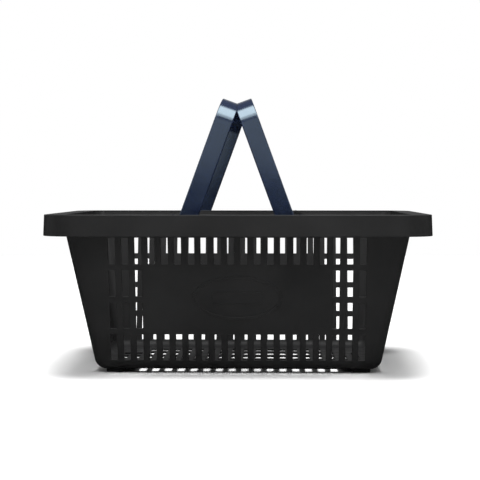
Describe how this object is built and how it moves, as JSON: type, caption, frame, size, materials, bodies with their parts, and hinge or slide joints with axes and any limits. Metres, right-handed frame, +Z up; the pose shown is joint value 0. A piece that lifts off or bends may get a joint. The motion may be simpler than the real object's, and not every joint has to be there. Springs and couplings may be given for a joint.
{
  "type": "shopping basket",
  "caption": "Tapered slotted hand basket with a deep skirted rim and flat strap handles that stand leaning together or fold out onto the rim.",
  "frame": {"origin": "on the surface the basket stands on, under the middle of the basket", "axes": "+X along the length, -Y towards the front long side, +Z up"},
  "size_m": [0.432, 0.305, 0.3082],
  "materials": {
    "basket_black": "satin moulded polypropylene, fine grain",
    "handle_navy": "glossy dark navy strap",
    "hinge_pin": "smooth black peg"
  },
  "bodies": {
    "basket": {"floor_panel": "basket_black", "front_wall": "basket_black", "back_wall": "basket_black", "left_wall": "basket_black", "right_wall": "basket_black", "base_edge_front": "basket_black", "base_edge_back": "basket_black", "base_edge_left": "basket_black", "base_edge_right": "basket_black", "corner_front_left": "basket_black", "corner_front_right": "basket_black", "corner_back_left": "basket_black", "corner_back_right": "basket_black", "rim_front": "basket_black", "rim_back": "basket_black", "rim_left": "basket_black", "rim_right": "basket_black", "rim_corner_front_left": "basket_black", "rim_corner_front_right": "basket_black", "rim_corner_back_left": "basket_black", "rim_corner_back_right": "basket_black", "foot_front_left": "basket_black", "foot_front_right": "basket_black", "foot_back_left": "basket_black", "foot_back_right": "basket_black", "emblem_front": "basket_black", "emblem_back": "basket_black", "hinge_bracket_front_left": "basket_black", "hinge_bracket_front_right": "basket_black", "hinge_bracket_back_left": "basket_black", "hinge_bracket_back_right": "basket_black", "hinge_pin_front_left": "hinge_pin", "hinge_pin_front_right": "hinge_pin", "hinge_pin_back_left": "hinge_pin", "hinge_pin_back_right": "hinge_pin"},
    "handle_left": {"handle_left": "handle_navy"},
    "handle_right": {"handle_right": "handle_navy"}
  },
  "joints": [
    {"name": "handle_left_swing", "type": "hinge", "parent": "basket", "child": "handle_left", "pos_m": [-0.06916, 0, 0.1756], "axis": [0, -1, 0], "range_deg": [0, 110.1]},
    {"name": "handle_right_swing", "type": "hinge", "parent": "basket", "child": "handle_right", "pos_m": [0.06916, 0, 0.1756], "axis": [0, 1, 0], "range_deg": [0, 110.1]}
  ]
}
